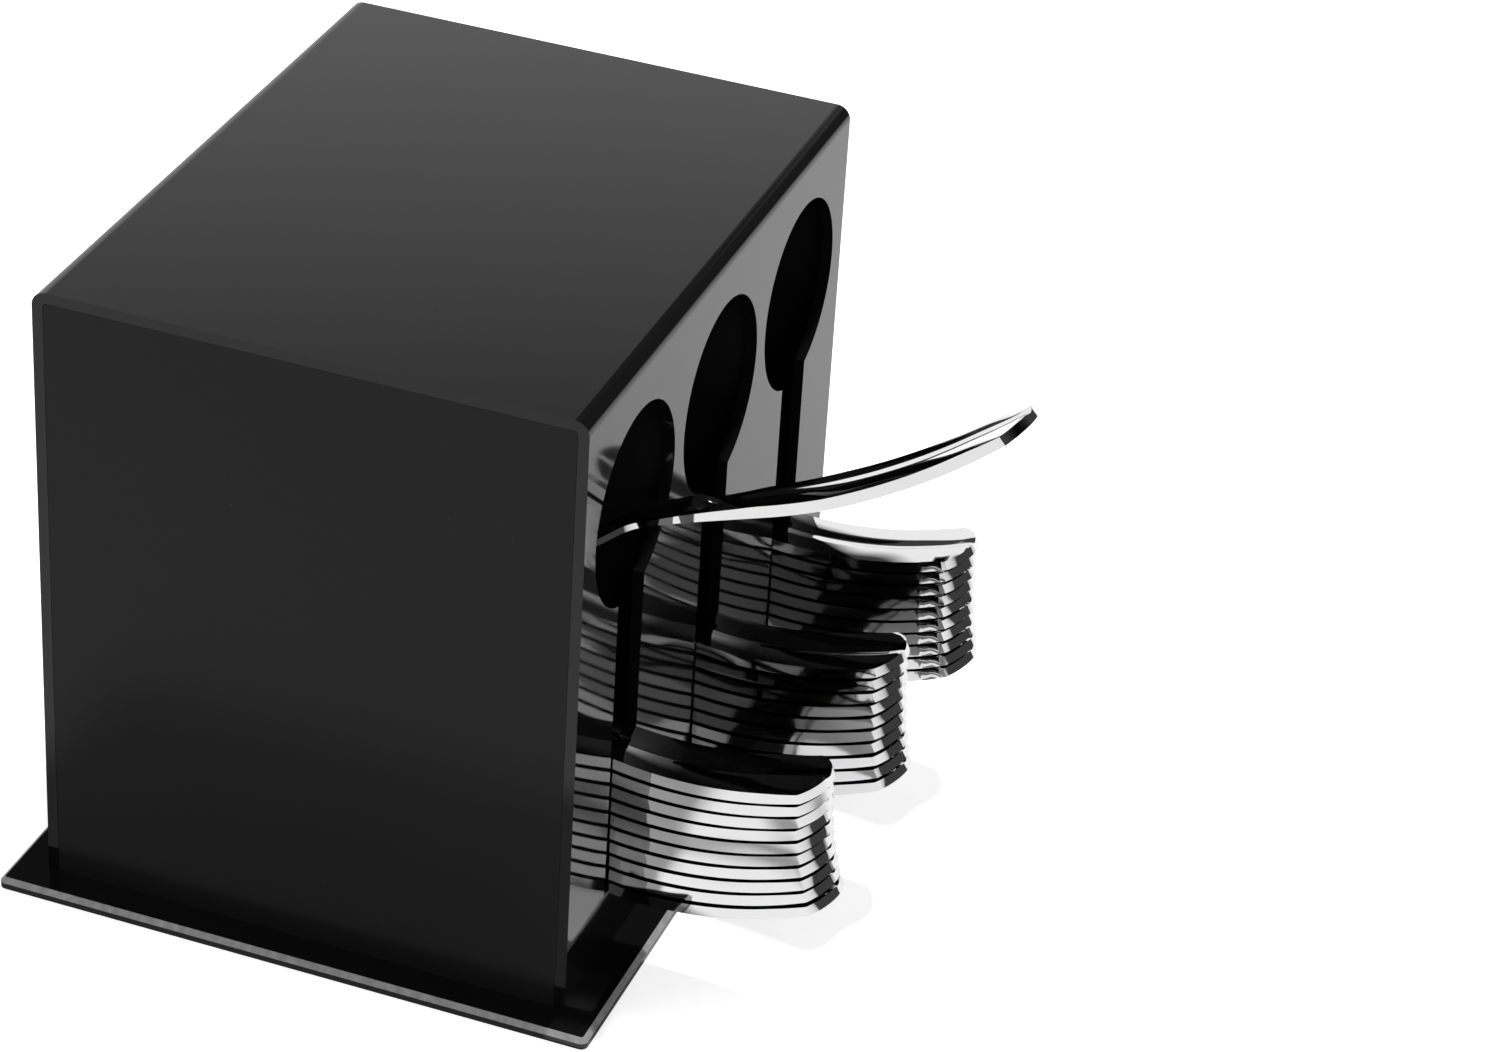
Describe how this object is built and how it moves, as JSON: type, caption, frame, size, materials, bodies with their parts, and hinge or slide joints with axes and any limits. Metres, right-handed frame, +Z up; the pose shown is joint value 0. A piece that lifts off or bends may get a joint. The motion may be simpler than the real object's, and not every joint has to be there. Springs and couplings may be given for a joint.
{
  "type": "cutlery dispenser",
  "caption": "Countertop cutlery dispenser: black acrylic box with keyholes that stacked forks, knives and spoons are lifted and drawn out through.",
  "frame": {"origin": "centre of the base plate's underside, on the surface that the dispenser stands on", "axes": "+Z up, the front with the keyholes faces -Y, +X to the right for someone who faces the front"},
  "size_m": [0.21, 0.2603, 0.1912],
  "materials": {
    "black_acrylic": "polished black acrylic sheet, with milled matte edges",
    "silver_plastic": "mirror-bright metallised plastic"
  },
  "bodies": {
    "housing": {"base_plate": "black_acrylic", "housing_wrap": "black_acrylic", "left_side_panel": "black_acrylic", "right_side_panel": "black_acrylic", "left_divider": "black_acrylic", "right_divider": "black_acrylic", "left_fork_1": "silver_plastic", "left_fork_2": "silver_plastic", "left_fork_3": "silver_plastic", "left_fork_4": "silver_plastic", "left_fork_5": "silver_plastic", "left_fork_6": "silver_plastic", "left_fork_7": "silver_plastic", "left_fork_8": "silver_plastic", "left_fork_9": "silver_plastic", "left_fork_10": "silver_plastic", "middle_knife_1": "silver_plastic", "middle_knife_2": "silver_plastic", "middle_knife_3": "silver_plastic", "middle_knife_4": "silver_plastic", "middle_knife_5": "silver_plastic", "middle_knife_6": "silver_plastic", "middle_knife_7": "silver_plastic", "middle_knife_8": "silver_plastic", "middle_knife_9": "silver_plastic", "right_spoon_1": "silver_plastic", "right_spoon_2": "silver_plastic", "right_spoon_3": "silver_plastic", "right_spoon_4": "silver_plastic", "right_spoon_5": "silver_plastic", "right_spoon_6": "silver_plastic", "right_spoon_7": "silver_plastic", "right_spoon_8": "silver_plastic", "right_spoon_9": "silver_plastic"},
    "lifted_fork": {"left_fork_lifted": "silver_plastic"},
    "top_knife": {"middle_knife_10": "silver_plastic"},
    "top_spoon": {"right_spoon_10": "silver_plastic"}
  },
  "joints": [
    {"name": "left_fork_pull", "type": "slide", "parent": "housing", "child": "lifted_fork", "axis": [0, -0.766, 0.6428], "range_m": [0, 0.1]},
    {"name": "middle_knife_lift", "type": "hinge", "parent": "housing", "child": "top_knife", "pos_m": [0, 0.05221, 0.0543], "axis": [-1, 0, 0], "range_deg": [0, 30]},
    {"name": "right_spoon_lift", "type": "hinge", "parent": "housing", "child": "top_spoon", "pos_m": [0.0605, 0.05214, 0.05195], "axis": [-1, 0, 0], "range_deg": [0, 30]}
  ]
}
